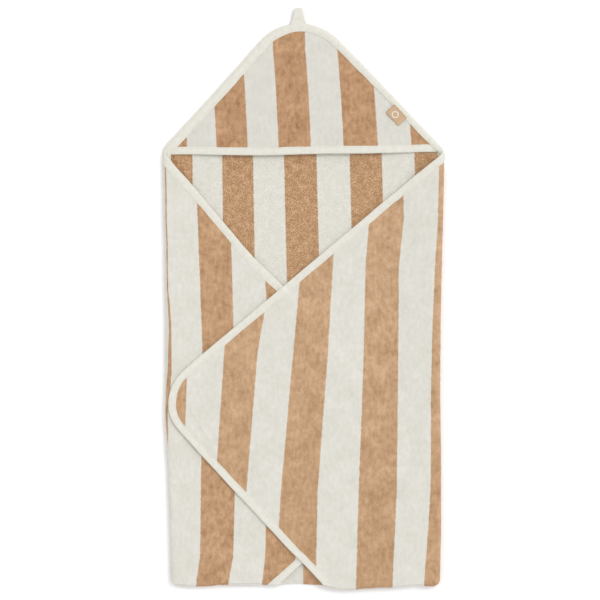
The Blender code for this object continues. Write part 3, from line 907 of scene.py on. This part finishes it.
class Nodes:
    """A material's node tree, written from the texture to the shader."""

    def __init__(self, name, roughness, sheen, sheen_roughness):
        self.material = bpy.data.materials.new(name)
        self.material.use_nodes = True
        self.tree = self.material.node_tree
        self.shader = self.tree.nodes["Principled BSDF"]
        self.shader.inputs["Roughness"].default_value = roughness
        self.shader.inputs["Sheen Weight"].default_value = sheen
        self.shader.inputs["Sheen Roughness"].default_value = sheen_roughness
        self.shader.inputs["Specular IOR Level"].default_value = 0.2
        self.weave = self.attribute("weave", "Vector")

    def new(self, kind, **settings):
        node = self.tree.nodes.new(kind)
        for key, value in settings.items():
            setattr(node, key, value)
        return node

    def link(self, output, target):
        self.tree.links.new(output, target)

    def attribute(self, name, output):
        return self.new("ShaderNodeAttribute", attribute_name=name).outputs[output]

    def scaled(self, vector, scale):
        node = self.new("ShaderNodeMapping")
        node.inputs["Scale"].default_value = scale
        self.link(vector, node.inputs["Vector"])
        return node.outputs["Vector"]

    def noise(self, scale, detail=2.0, stretch=(1, 1, 1)):
        node = self.new("ShaderNodeTexNoise")
        node.inputs["Scale"].default_value = scale
        node.inputs["Detail"].default_value = detail
        node.inputs["Roughness"].default_value = 0.6
        self.link(self.scaled(self.weave, stretch), node.inputs["Vector"])
        return node.outputs["Fac"]

    def cells(self, scale):
        node = self.new("ShaderNodeTexVoronoi", feature="SMOOTH_F1")
        node.inputs["Scale"].default_value = scale
        node.inputs["Smoothness"].default_value = 0.4
        self.link(self.weave, node.inputs["Vector"])
        return node.outputs["Distance"]

    def ribs(self, direction, scale, distortion, way=(1, 1, 1)):
        node = self.new("ShaderNodeTexWave", wave_type="BANDS", bands_direction=direction)
        node.inputs["Scale"].default_value = scale
        node.inputs["Distortion"].default_value = distortion
        self.link(self.scaled(self.weave, way), node.inputs["Vector"])
        return node.outputs["Fac"]

    def flecks(self, scale, low, high):
        """Sparse bright fibre ends."""
        return self.spread(self.noise(scale), low, high)

    def maths(self, operation, first, second=None):
        node = self.new("ShaderNodeMath", operation=operation)
        for socket, value in zip(node.inputs, (first, second)):
            if value is None:
                continue
            if isinstance(value, (int, float)):
                socket.default_value = value
            else:
                self.link(value, socket)
        return node.outputs["Value"]

    def weighted(self, *terms):
        """The sum of values, each times its weight."""
        parts = [self.maths("MULTIPLY", value, weight) for value, weight in terms]
        total = parts[0]
        for part in parts[1:]:
            total = self.maths("ADD", total, part)
        return total

    def spread(self, value, low, high, to_low=0.0, to_high=1.0, smooth=False):
        """Maps low to high onto to_low to to_high, clamped."""
        node = self.new("ShaderNodeMapRange",
                        interpolation_type="SMOOTHSTEP" if smooth else "LINEAR")
        for key, number in (("From Min", low), ("From Max", high),
                            ("To Min", to_low), ("To Max", to_high)):
            node.inputs[key].default_value = number
        self.link(value, node.inputs["Value"])
        return node.outputs["Result"]

    def mixed(self, factor, first, second, blend_type="MIX"):
        node = self.new("ShaderNodeMix", data_type="RGBA", blend_type=blend_type)
        if isinstance(factor, (int, float)):
            node.inputs[0].default_value = factor
        else:
            self.link(factor, node.inputs[0])
        for socket, value in ((node.inputs[6], first), (node.inputs[7], second)):
            if isinstance(value, tuple):
                socket.default_value = value
            else:
                self.link(value, socket)
        return node.outputs[2]

    def bump(self, height, strength, distance, onto=None):
        node = self.new("ShaderNodeBump")
        node.inputs["Strength"].default_value = strength
        node.inputs["Distance"].default_value = distance
        self.link(height, node.inputs["Height"])
        if onto is not None:
            self.link(onto, node.inputs["Normal"])
        return node.outputs["Normal"]

    def done(self, base_colour, normal):
        self.link(base_colour, self.shader.inputs["Base Color"])
        self.link(normal, self.shader.inputs["Normal"])
        return self.material


def stripe_mask(nodes):
    """1 on a sand band, 0 on cream, with a slightly wandering edge."""
    wave = nodes.maths("SINE", nodes.maths("MULTIPLY", nodes.attribute("band", "Fac"), pi))
    wobble = nodes.spread(nodes.noise(420, 3.0, (1, 0.5, 1)), 0, 1, -0.08, 0.08)
    bands = nodes.spread(nodes.maths("ADD", wave, wobble), 0.045, -0.045, smooth=True)
    away = nodes.maths("ABSOLUTE", nodes.attribute("line_away", "Fac"))
    inside = nodes.maths("SUBTRACT", nodes.attribute("line_half", "Fac"), away)
    return nodes.maths("MAXIMUM", bands, nodes.spread(inside, 0.0001, 0.0006, smooth=True))


def with_crease(nodes, base):
    """A pressed crease: a shaded side and a lit side along its line."""
    away, strength = (nodes.attribute("crease_" + end, "Fac") for end in ("away", "strength"))
    shaded = nodes.spread(away, -0.0004, 0.0004)
    dark = nodes.maths("MULTIPLY", shaded, nodes.spread(away, 0.0, 0.0085, 0.24, 0.0))
    lit = nodes.maths("MULTIPLY", nodes.maths("SUBTRACT", 1.0, shaded),
                      nodes.spread(away, -0.005, 0.0, 0.0, 0.10))
    base = nodes.mixed(nodes.maths("MULTIPLY", dark, strength), base,
                       nodes.mixed(1.0, base, CREASE_SHADE, "MULTIPLY"))
    return nodes.mixed(nodes.maths("MULTIPLY", lit, strength), base, CREASE_LIGHT, "ADD")


def velour_material(name, sand_tones, cream_tones, lower_tint=None):
    """The cut pile outside: brushed streaks, soft mottling and a fine nap.

    The last argument, if given, is what the sand colour is multiplied by towards the bottom of the
    towel, which darkens it there.
    """
    nodes = Nodes(name, 0.93, 0.25, 0.55)
    streaks = nodes.noise(240, 4.0, (1, 0.22, 1))
    strokes = nodes.noise(190, 4.0, (1, 0.7, 1))
    mottle = nodes.noise(38, 4.0)
    pile = nodes.noise(1300, 3.0)
    shade = nodes.weighted((streaks, 0.16), (strokes, 0.30), (mottle, 0.27), (pile, 0.27))
    shade = nodes.spread(shade, 0.38, 0.62)
    sand = nodes.mixed(shade, *sand_tones)
    cream = nodes.mixed(shade, *cream_tones)
    sand = nodes.mixed(nodes.flecks(1050, 0.66, 0.74), sand, sand_tones[1])
    sand = nodes.mixed(nodes.maths("MULTIPLY", nodes.flecks(430, 0.685, 0.73), 0.55), sand, LINT)
    if lower_tint:
        height = nodes.new("ShaderNodeSeparateXYZ")
        nodes.link(nodes.weave, height.inputs["Vector"])
        down = nodes.spread(height.outputs["Y"], -0.02, -0.33)
        sand = nodes.mixed(down, sand, nodes.mixed(1.0, sand, lower_tint, "MULTIPLY"))
    both = with_crease(nodes, nodes.mixed(stripe_mask(nodes), cream, sand))
    normal = nodes.bump(pile, 0.55, 0.00045)
    normal = nodes.bump(strokes, 0.35, 0.00060, normal)
    return nodes.done(both, normal)


def terry_material():
    """The looped inside: grains of loops, with painted shade in the gaps between them."""
    nodes = Nodes("terry_face", 0.96, 0.20, 0.6)
    loops = nodes.cells(1050)
    fine = nodes.noise(1500, 3.0)
    mottle = nodes.noise(110, 3.0)
    height = nodes.weighted((nodes.spread(loops, 0.05, 0.75, 1.0, 0.0), 1.0), (fine, 0.4))
    # deeper tone where the loops are low: painted shade in the gaps between loops, mixed with the
    # cloth's own mottling
    shade = nodes.spread(nodes.weighted((height, 0.5), (mottle, 0.45)), 0.39, 0.91)
    sand = nodes.mixed(shade, *TERRY_SAND)
    cream = nodes.mixed(shade, *TERRY_CREAM)
    sand = nodes.mixed(nodes.flecks(1200, 0.64, 0.70), sand, TERRY_LINT)
    both = nodes.mixed(stripe_mask(nodes), cream, sand)
    return nodes.done(both, nodes.bump(height, 0.40, 0.0005))


def tape_material():
    """A plain weave laid across the tape: threads that run both ways along its diagonals."""
    nodes = Nodes("tape_weave", 0.85, 0.10, 0.5)
    threads = nodes.weighted(*((nodes.ribs("DIAGONAL", 330, 0.6, (1, way, 1)), 0.5)
                               for way in (1, -1)))
    mottle = nodes.noise(160, 3.0)
    shade = nodes.weighted((threads, 0.35), (mottle, 0.65))
    base = nodes.mixed(nodes.spread(shade, 0.3, 0.7), *TAPE_TONES)
    normal = nodes.bump(threads, 0.35, 0.00012)
    return nodes.done(base, nodes.bump(mottle, 0.25, 0.0006, normal))


def thread_material():
    nodes = Nodes("thread_twist", 0.6, 0.15, 0.4)
    twist = nodes.noise(2600)
    base = nodes.mixed(twist, *THREAD_TONES)
    return nodes.done(base, nodes.bump(twist, 0.3, 0.0001))


LABEL_LONG = 0.0240
LABEL_DEEP = 0.0150
LABEL_THICK = 0.0006


def label_material(name, deep, light, edged=False):
    """A ribbed weave; an edged label is darker along its border and paler across one end."""
    nodes = Nodes(name, 0.72, 0.15, 0.4)
    ribs = nodes.ribs("X", 420, 0.4)
    shade = nodes.weighted((ribs, 0.5), (nodes.noise(900), 0.5))
    base = nodes.mixed(nodes.spread(shade, 0.3, 0.7), deep, light)
    if edged:
        place = nodes.new("ShaderNodeSeparateXYZ")
        nodes.link(nodes.weave, place.inputs["Vector"])
        inside = [nodes.maths("SUBTRACT", half, nodes.maths("ABSOLUTE", place.outputs[axis]))
                  for axis, half in (("X", LABEL_LONG / 2), ("Y", LABEL_DEEP / 2))]
        border = nodes.spread(nodes.maths("MINIMUM", *inside), 0.0007, 0.0013, 0.40, 0.0)
        pale = nodes.spread(place.outputs["X"], -0.0094, -0.0090, 0.35, 0.0)
        base = nodes.mixed(pale, base, light)
        base = nodes.mixed(border, base, nodes.mixed(1.0, base, LABEL_DARK, "MULTIPLY"))
    return nodes.done(base, nodes.bump(ribs, 0.4, 0.00012))


VELOUR_HOOD = velour_material("velour_hood", HOOD_SAND, HOOD_CREAM)
VELOUR_LEFT = velour_material("velour_left", LEFT_SAND, CREAM)
VELOUR_RIGHT = velour_material("velour_right", RIGHT_SAND, CREAM, LOWER_TINT)
TERRY = terry_material()
TAPE_CLOTH = tape_material()
THREAD = thread_material()
LABEL_GROUND = label_material("label_ground", *LABEL_TONES, edged=True)
LABEL_MOTIF = label_material("label_motif", *TAPE_TONES)

# Cloths

back_cloth = cloth("back_cloth", back, BACK_BANDS, VELOUR_LEFT, 0.0024, 0.00016)
bottom_cloth = cloth("bottom_flap_cloth", bottom, BOTTOM_BANDS, VELOUR_LEFT, 0.0036)
left_end_cloth = cloth("left_end_cloth", left_end, LEFT_BANDS, VELOUR_LEFT, 0.0036)
left_cloth = cloth("left_flap_cloth", left, LEFT_BANDS, VELOUR_LEFT, 0.0024,
                   crease=LEFT_PRESSED, line=FOLD_LINE)
right_end_cloth = cloth("right_end_cloth", right_end, RIGHT_BANDS, VELOUR_RIGHT, 0.0036)
right_cloth = cloth("right_flap_cloth", right, RIGHT_BANDS, VELOUR_RIGHT, 0.0024,
                    crease=RIGHT_PRESSED)
front_cloth = cloth("hood_front_cloth", front, HOOD_BANDS, VELOUR_HOOD, 0.0024,
                    crease=HOOD_PRESSED)


# Tapes

def free_path(sheet, spare=0.012):
    """The outer edge of the sheet's free sides, counterclockwise, and some to spare at both ends."""
    groups = outline(sheet.corners, [0] * len(sheet.corners), sheet.radii)
    first = sheet.free[0]
    picked = [(first + i) % len(groups) for i in range(len(sheet.free) + 1)]
    points = joined([groups[i] for i in picked[1:-1]])
    ends = [groups[picked[0]][-1], groups[picked[-1]][0]]
    for i, towards in ((0, (points or ends[::-1])[0]), (1, (points or ends[::-1])[-1])):
        way = Vector(ends[i]) - Vector(towards)
        ends[i] = tuple(Vector(ends[i]) + way.normalized() * spare)
    return [ends[0], *points, ends[1]]


left_tape, left_seam = tape("left_flap_tape", left, free_path(left))
right_tape, right_seam = tape("right_flap_tape", right, free_path(right))
bottom_tape, bottom_seam = tape("bottom_flap_tape", bottom, free_path(bottom))
left_end_tape, left_end_seam = tape("left_end_tape", left_end, free_path(left_end))
right_end_tape, right_end_seam = tape("right_end_tape", right_end, free_path(right_end))

# The hood's edge: one tape around the back's cloth, and one above it around the front's
EDGE_MIDDLE = 0.0027      # height between the two
EDGE_FOOT = 0.166         # the edge's tapes end here, under the flaps
EDGE_TURN = 0.016
EDGE_WIDTHS = ((-0.1820, -0.1795, -0.172, -0.02, 0.02, 0.12, 0.174, 0.1800, 0.1820),
               (0.0042, 0.0080, 0.0106, 0.0103, 0.0098, 0.0081, 0.0078, 0.0060, 0.0042))
OVER_SHIFT = 0.0030       # how far the upper tape lies inwards on the left leg
hood_middle = Sheet(hood_triangle, hood_radii, [0, 1, 2],
                    np.full(GRID_X.shape, EDGE_MIDDLE), 1, bow=True)
edge_corners = [(HOOD_RIGHT[0] - 0.0022, EDGE_FOOT), HOOD_RIGHT, HOOD_APEX, HOOD_LEFT,
                (HOOD_LEFT[0] + 0.0010, EDGE_FOOT)]
edge_turns = [0, EDGE_TURN, HOOD_RADIUS, EDGE_TURN, 0]
hood_edge = joined(outline(edge_corners, [0] * 5, edge_turns))
under_tape, under_seam = tape("hood_edge_under_tape", hood_middle, hood_edge, half=0.0018,
                              widths=EDGE_WIDTHS, centre=-0.0008, thin_ends=0.35)
over_edge = [(x + OVER_SHIFT * np.clip((0.02 - x) / 0.05, 0, 1), y - 0.0008)
             for x, y in hood_edge]
over_tape, over_seam = tape("hood_edge_tape", hood_middle, over_edge, half=0.0024,
                            widths=EDGE_WIDTHS, centre=0.0004, thin_ends=0.35)


def mouth_line(x):
    """The lower edge of the hood's mouth: almost straight, and a little higher on the right."""
    rise = 0.0034 * smoothstep((x + 0.02) / 0.16)
    return MOUTH_Y - 0.0014 + rise + 0.0006 * np.sin(x * 38 + 1)


mouth_x = np.linspace(-0.1735, 0.1712, 60)
mouth_edge = np.stack([mouth_x, mouth_line(mouth_x)], -1)
mouth_tape, mouth_seam = tape("hood_mouth_tape", front, mouth_edge, sunk_ends=0.0004)

# Bodies


def fold_between(pieces):
    """Bakes each piece's transform into its mesh."""
    for piece in pieces:
        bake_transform(piece)


fold_between((left_cloth, left_tape, left_seam))
fold_between((right_cloth, right_tape, right_seam))
fold_between((bottom_cloth, bottom_tape, bottom_seam))
fold_between((left_end_cloth, left_end_tape, left_end_seam))
fold_between((right_end_cloth, right_end_tape, right_end_seam))
for piece in (back_cloth, under_tape, under_seam, over_tape, over_seam):
    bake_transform(piece)
for piece in (front_cloth, mouth_tape, mouth_seam):
    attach(piece, "hood")

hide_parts("back_panel", "hood_back")
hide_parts("left_flap", "left_fold_strip")
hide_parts("right_flap", "right_fold_strip")
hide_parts("bottom_flap", "bottom_fold_strip")
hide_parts("bottom_corner_left", "bottom_fold_left_strip")
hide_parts("bottom_corner_right", "bottom_fold_right_strip")
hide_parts("hood_front")
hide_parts("left_flap_binding")
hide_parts("right_flap_binding")
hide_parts("bottom_flap_binding")
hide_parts("bottom_corner_left_binding")
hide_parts("bottom_corner_right_binding")
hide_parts("hood_edge_binding")
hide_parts("hood_mouth_binding")

# Hanging loop: a folded tape with an open eye

loop_low, loop_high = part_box("hanging_loop")
loop_x = (loop_low.x + loop_high.x) / 2
loop_z = (loop_low.z + loop_high.z) / 2
loop_radius = (loop_high.z - loop_low.z) / 2
LOOP_TAPE = 0.0009        # thickness
LOOP_BEND = 0.0028        # radius of its bend
LOOP_COLUMNS = 12
LOOP_ROW = 0.0011         # of the weave, for each row of points


def hanging_loop():
    """A tape folded in two: its legs lie together at the seam and part towards the bend."""
    length = loop_high.y - loop_low.y
    straight = length - loop_radius
    along = np.linspace(-0.36, 1, 26)
    apart = 0.0010 + 0.0018 * smoothstep((along + 0.1) / 0.8)
    upper = [(loop_low.y + s * straight, gap, 0, 1) for s, gap in zip(along, apart)]
    bend = [(loop_low.y + straight + LOOP_BEND * cos(a), LOOP_BEND * sin(a), cos(a), sin(a))
            for a in np.linspace(pi / 2, -pi / 2, 16)[1:-1]]
    lower = [(y, -gap, 0, -1) for y, gap, _, _ in reversed(upper)]
    middle = upper + bend + lower
    shell, plane = [], []
    for side in (0.5, -0.5):
        for i, (y, z, normal_y, normal_z) in enumerate(middle):
            far = (y - loop_low.y) / length
            near = 1 - min(max(far, 0), 1)
            half_width = 0.0048 + 0.0022 * near + 0.0024 * near ** 3
            lean = 0.0008 + 0.0006 * far
            for across in np.linspace(-1, 1, LOOP_COLUMNS):
                thin = 1 - 0.35 * abs(across) ** 8
                lift = side * LOOP_TAPE * thin - 0.00035 * abs(across) ** 3
                shell.append((loop_x + lean + across * half_width, y + normal_y * lift,
                              loop_z + z + normal_z * lift))
                plane.append((i * LOOP_ROW, across * half_width))
    faces = turned_out(shell, plate_faces(len(middle), LOOP_COLUMNS))
    piece = new_piece("hanging_loop_tape", shell, faces, [TAPE_CLOTH])
    store_weave(piece, *np.transpose(plane))
    return piece


loop_tape = hanging_loop()
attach(loop_tape, "loop")
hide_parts("hanging_loop")

# Woven label

label_low, label_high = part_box("woven_label")
leg = Vector(HOOD_APEX) - Vector(HOOD_RIGHT)
leg_way = leg.normalized()
leg_inward = Vector((-leg_way.y, leg_way.x))
label_middle = Vector(((label_low.x + label_high.x) / 2, (label_low.y + label_high.y) / 2))
LABEL_ABOVE_TAPE = 0.0058
LABEL_ROWS, LABEL_COLUMNS = 46, 30
RING_AT = (0.0014, 0.0004)
RING_RADIUS = 0.0039
RING_HALF = 0.0009        # half of its breadth
RING_HIGH = 0.00022
RING_STEPS = 80


def label_point(s, t, lift):
    """s runs along the seam, t away from it, both from the label's middle."""
    spot = label_middle + leg_way * s + leg_inward * t
    bow = HOOD_BOW * sin(pi * (spot.y - MOUTH_Y) / HOOD_RISE)
    wave = 0.00035 * float(smoothstep(t / LABEL_DEEP + 0.5)) * (1 + sin(s * 260))
    under = float(read(front.heights, spot.x, spot.y)) + HALF
    z = max(label_low.z, LABEL_ABOVE_TAPE, under + 0.0003)
    return (spot.x + bow, spot.y, z + lift + wave)


def label_piece(name, points, faces, material, smooth_angle):
    """A piece of the label, from points (s, t, lift)."""
    vertices = [label_point(*point) for point in points]
    piece = new_piece(name, vertices, turned_out(vertices, faces), [material], smooth_angle)
    store_weave(piece, *np.transpose(points)[:2])
    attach(piece, "label")
    return piece


def ring_points():
    """A flat embroidered ring of short satin stitches: four points for each step around it."""
    points = []
    for i in range(RING_STEPS):
        a = 2 * pi * i / RING_STEPS
        high = RING_HIGH * (1.0 if i % 2 else 0.55)
        for out, h in ((-1, 0), (-2 / 3, high), (2 / 3, high), (1, 0)):
            r = RING_RADIUS + out * RING_HALF
            points.append((RING_AT[0] + r * cos(a), RING_AT[1] + r * sin(a),
                           LABEL_THICK - 0.00008 + h))
    return points


plate = [(s * LABEL_LONG, t * LABEL_DEEP, lift) for lift in (LABEL_THICK, 0)
         for s in np.linspace(-0.5, 0.5, LABEL_ROWS)
         for t in np.linspace(-0.5, 0.5, LABEL_COLUMNS)]
label_ground = label_piece("woven_label_ground", plate,
                           plate_faces(LABEL_ROWS, LABEL_COLUMNS), LABEL_GROUND, 50)
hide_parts("woven_label")
label_ring = label_piece("woven_label_ring", ring_points(),
                         tube_faces(RING_STEPS, 4, closed=True), LABEL_MOTIF, 40)

# Cloth facts

SHEETS = (
    (back_cloth, back, "laid", [], [under_tape, under_seam]),
    (bottom_cloth, bottom, "folded", [back_cloth], [bottom_tape, bottom_seam]),
    (left_end_cloth, left_end, "folded", [bottom_cloth], [left_end_tape, left_end_seam]),
    (left_cloth, left, "folded", [left_end_cloth, back_cloth], [left_tape, left_seam]),
    (right_end_cloth, right_end, "folded", [bottom_cloth], [right_end_tape, right_end_seam]),
    (right_cloth, right, "folded", [left_cloth, back_cloth], [right_tape, right_seam]),
    (front_cloth, front, "laid", [back_cloth], [over_tape, over_seam, mouth_tape, mouth_seam]),
)
LEAST_SHARE = 0.301       # of its flat box, as the least area worked out for a sheet

for piece, sheet, held, under, extras in SHEETS:
    flat_size = sheet.size()
    area = max(sheet.area(), LEAST_SHARE * flat_size[0] * flat_size[1])

# Floor, light and camera

VIEW_WIDTH = 0.7764       # seen across the object
CAMERA = (-0.0043, -0.0031, 3.0)
SUN_WAY = (-1.0, -0.75, -1.55)

floor_mesh = bpy.data.meshes.new("floor")
floor_mesh.from_pydata([(-4, -4, 0), (4, -4, 0), (4, 4, 0), (-4, 4, 0)], [], [(0, 1, 2, 3)])
floor_material = bpy.data.materials.new("floor_white")
floor_material.use_nodes = True
floor_shader = floor_material.node_tree.nodes["Principled BSDF"]
floor_shader.inputs["Base Color"].default_value = (0.97, 0.97, 0.97, 1)
floor_shader.inputs["Roughness"].default_value = 0.9
floor_shader.inputs["Specular IOR Level"].default_value = 0.1
floor_mesh.materials.append(floor_material)
floor = bpy.data.objects.new("floor", floor_mesh)
bpy.context.scene.collection.objects.link(floor)

world = bpy.data.worlds.new("studio")
world.use_nodes = True
world.node_tree.nodes["Background"].inputs["Color"].default_value = (1.0, 1.0, 1.0, 1)
world.node_tree.nodes["Background"].inputs["Strength"].default_value = 0.92
bpy.context.scene.world = world

sun = bpy.data.lights.new("key", "SUN")
sun.energy = 0.95
sun.angle = 0.45
sun_object = bpy.data.objects.new("key", sun)
sun_object.rotation_mode = "QUATERNION"
sun_object.rotation_quaternion = Vector(SUN_WAY).to_track_quat("-Z", "Y")
bpy.context.scene.collection.objects.link(sun_object)

camera = bpy.data.cameras.new("camera")
camera.lens = camera.sensor_width * CAMERA[2] / VIEW_WIDTH
camera.clip_end = 20
camera_object = bpy.data.objects.new("camera", camera)
camera_object.location = CAMERA
bpy.context.scene.collection.objects.link(camera_object)
bpy.context.scene.camera = camera_object
bpy.context.scene.view_settings.view_transform = "Standard"
